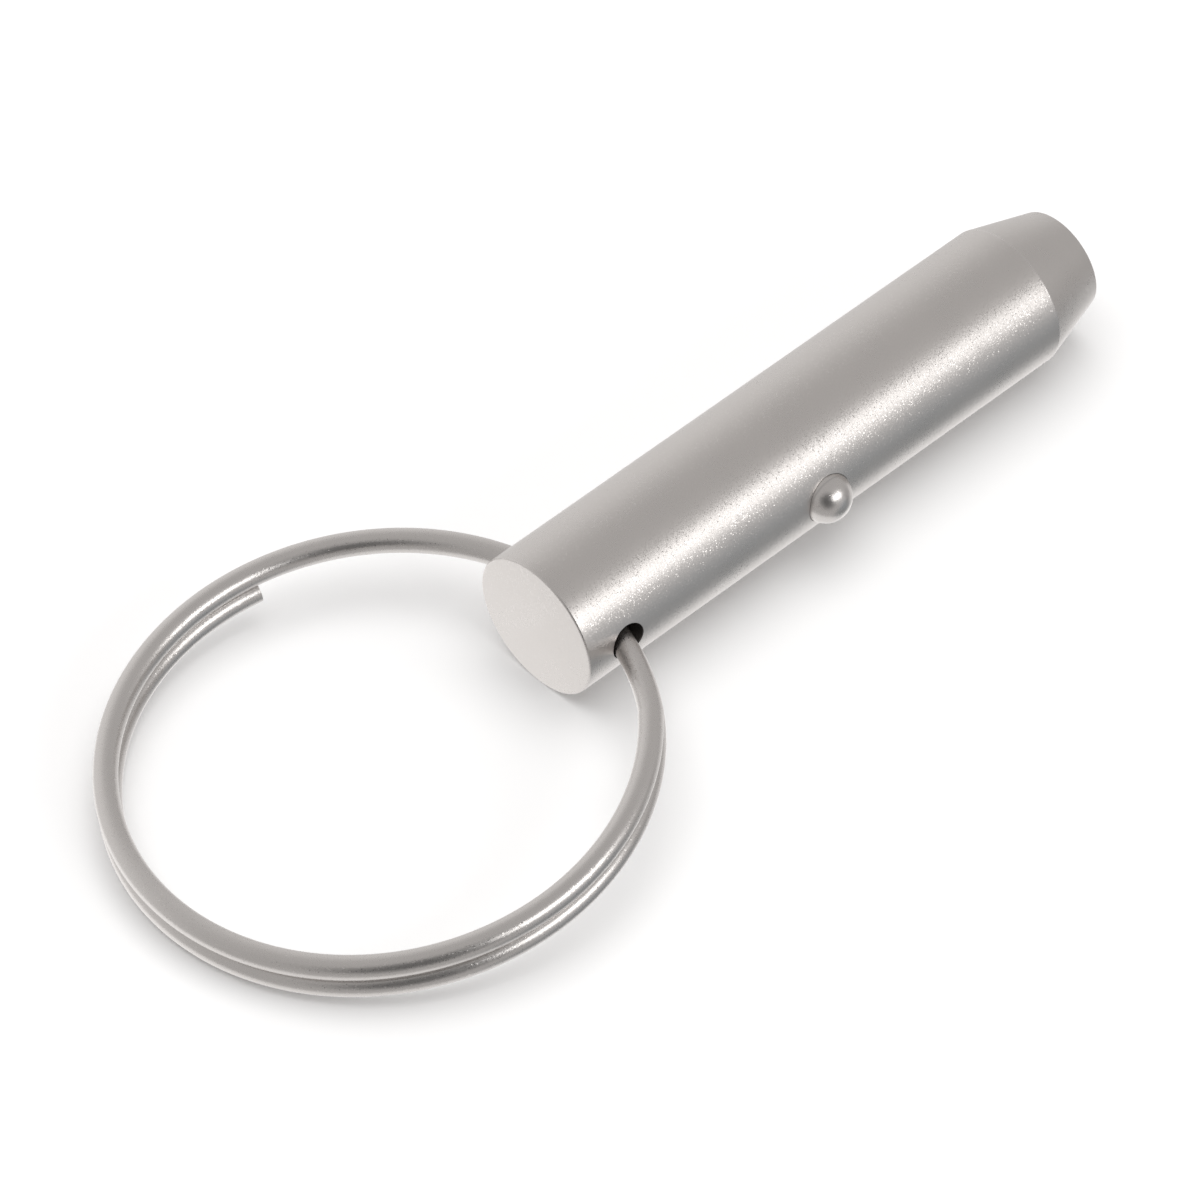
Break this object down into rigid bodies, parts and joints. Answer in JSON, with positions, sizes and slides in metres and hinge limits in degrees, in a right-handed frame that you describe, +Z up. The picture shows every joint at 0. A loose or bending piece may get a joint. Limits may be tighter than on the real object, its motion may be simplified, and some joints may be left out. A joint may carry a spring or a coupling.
{
  "type": "quick lock pin",
  "caption": "Round steel detent pin with a tapered nose, a spring-loaded ball in its shank and a split ring through its head end.",
  "frame": {"origin": "centre of the flat head face, on the pin's axis", "axes": "+X along the pin towards its nose, +Z up as it lies on a table, -Y out of the bore of the detent ball"},
  "size_m": [0.0776, 0.0356, 0.01],
  "materials": {
    "pin_steel": "satin turned stainless steel",
    "ball_steel": "polished hardened steel",
    "spring_steel": "drawn spring wire",
    "ring_steel": "satin drawn stainless wire"
  },
  "bodies": {
    "pin": {"pin_body": "pin_steel", "detent_spring": "spring_steel"},
    "ball": {"detent_ball": "ball_steel"},
    "ring": {"split_ring": "ring_steel"}
  },
  "joints": [
    {"name": "ball_press", "type": "slide", "parent": "pin", "child": "ball", "axis": [0, 1, 0], "range_m": [0, 0.0014], "stiffness_N_per_m": 3000, "deforming": ["detent_spring"]},
    {"name": "ring_swing", "type": "hinge", "parent": "pin", "child": "ring", "pos_m": [0.0033, 0, 0], "axis": [0, 1, 0], "range_deg": [-161, 173]}
  ]
}
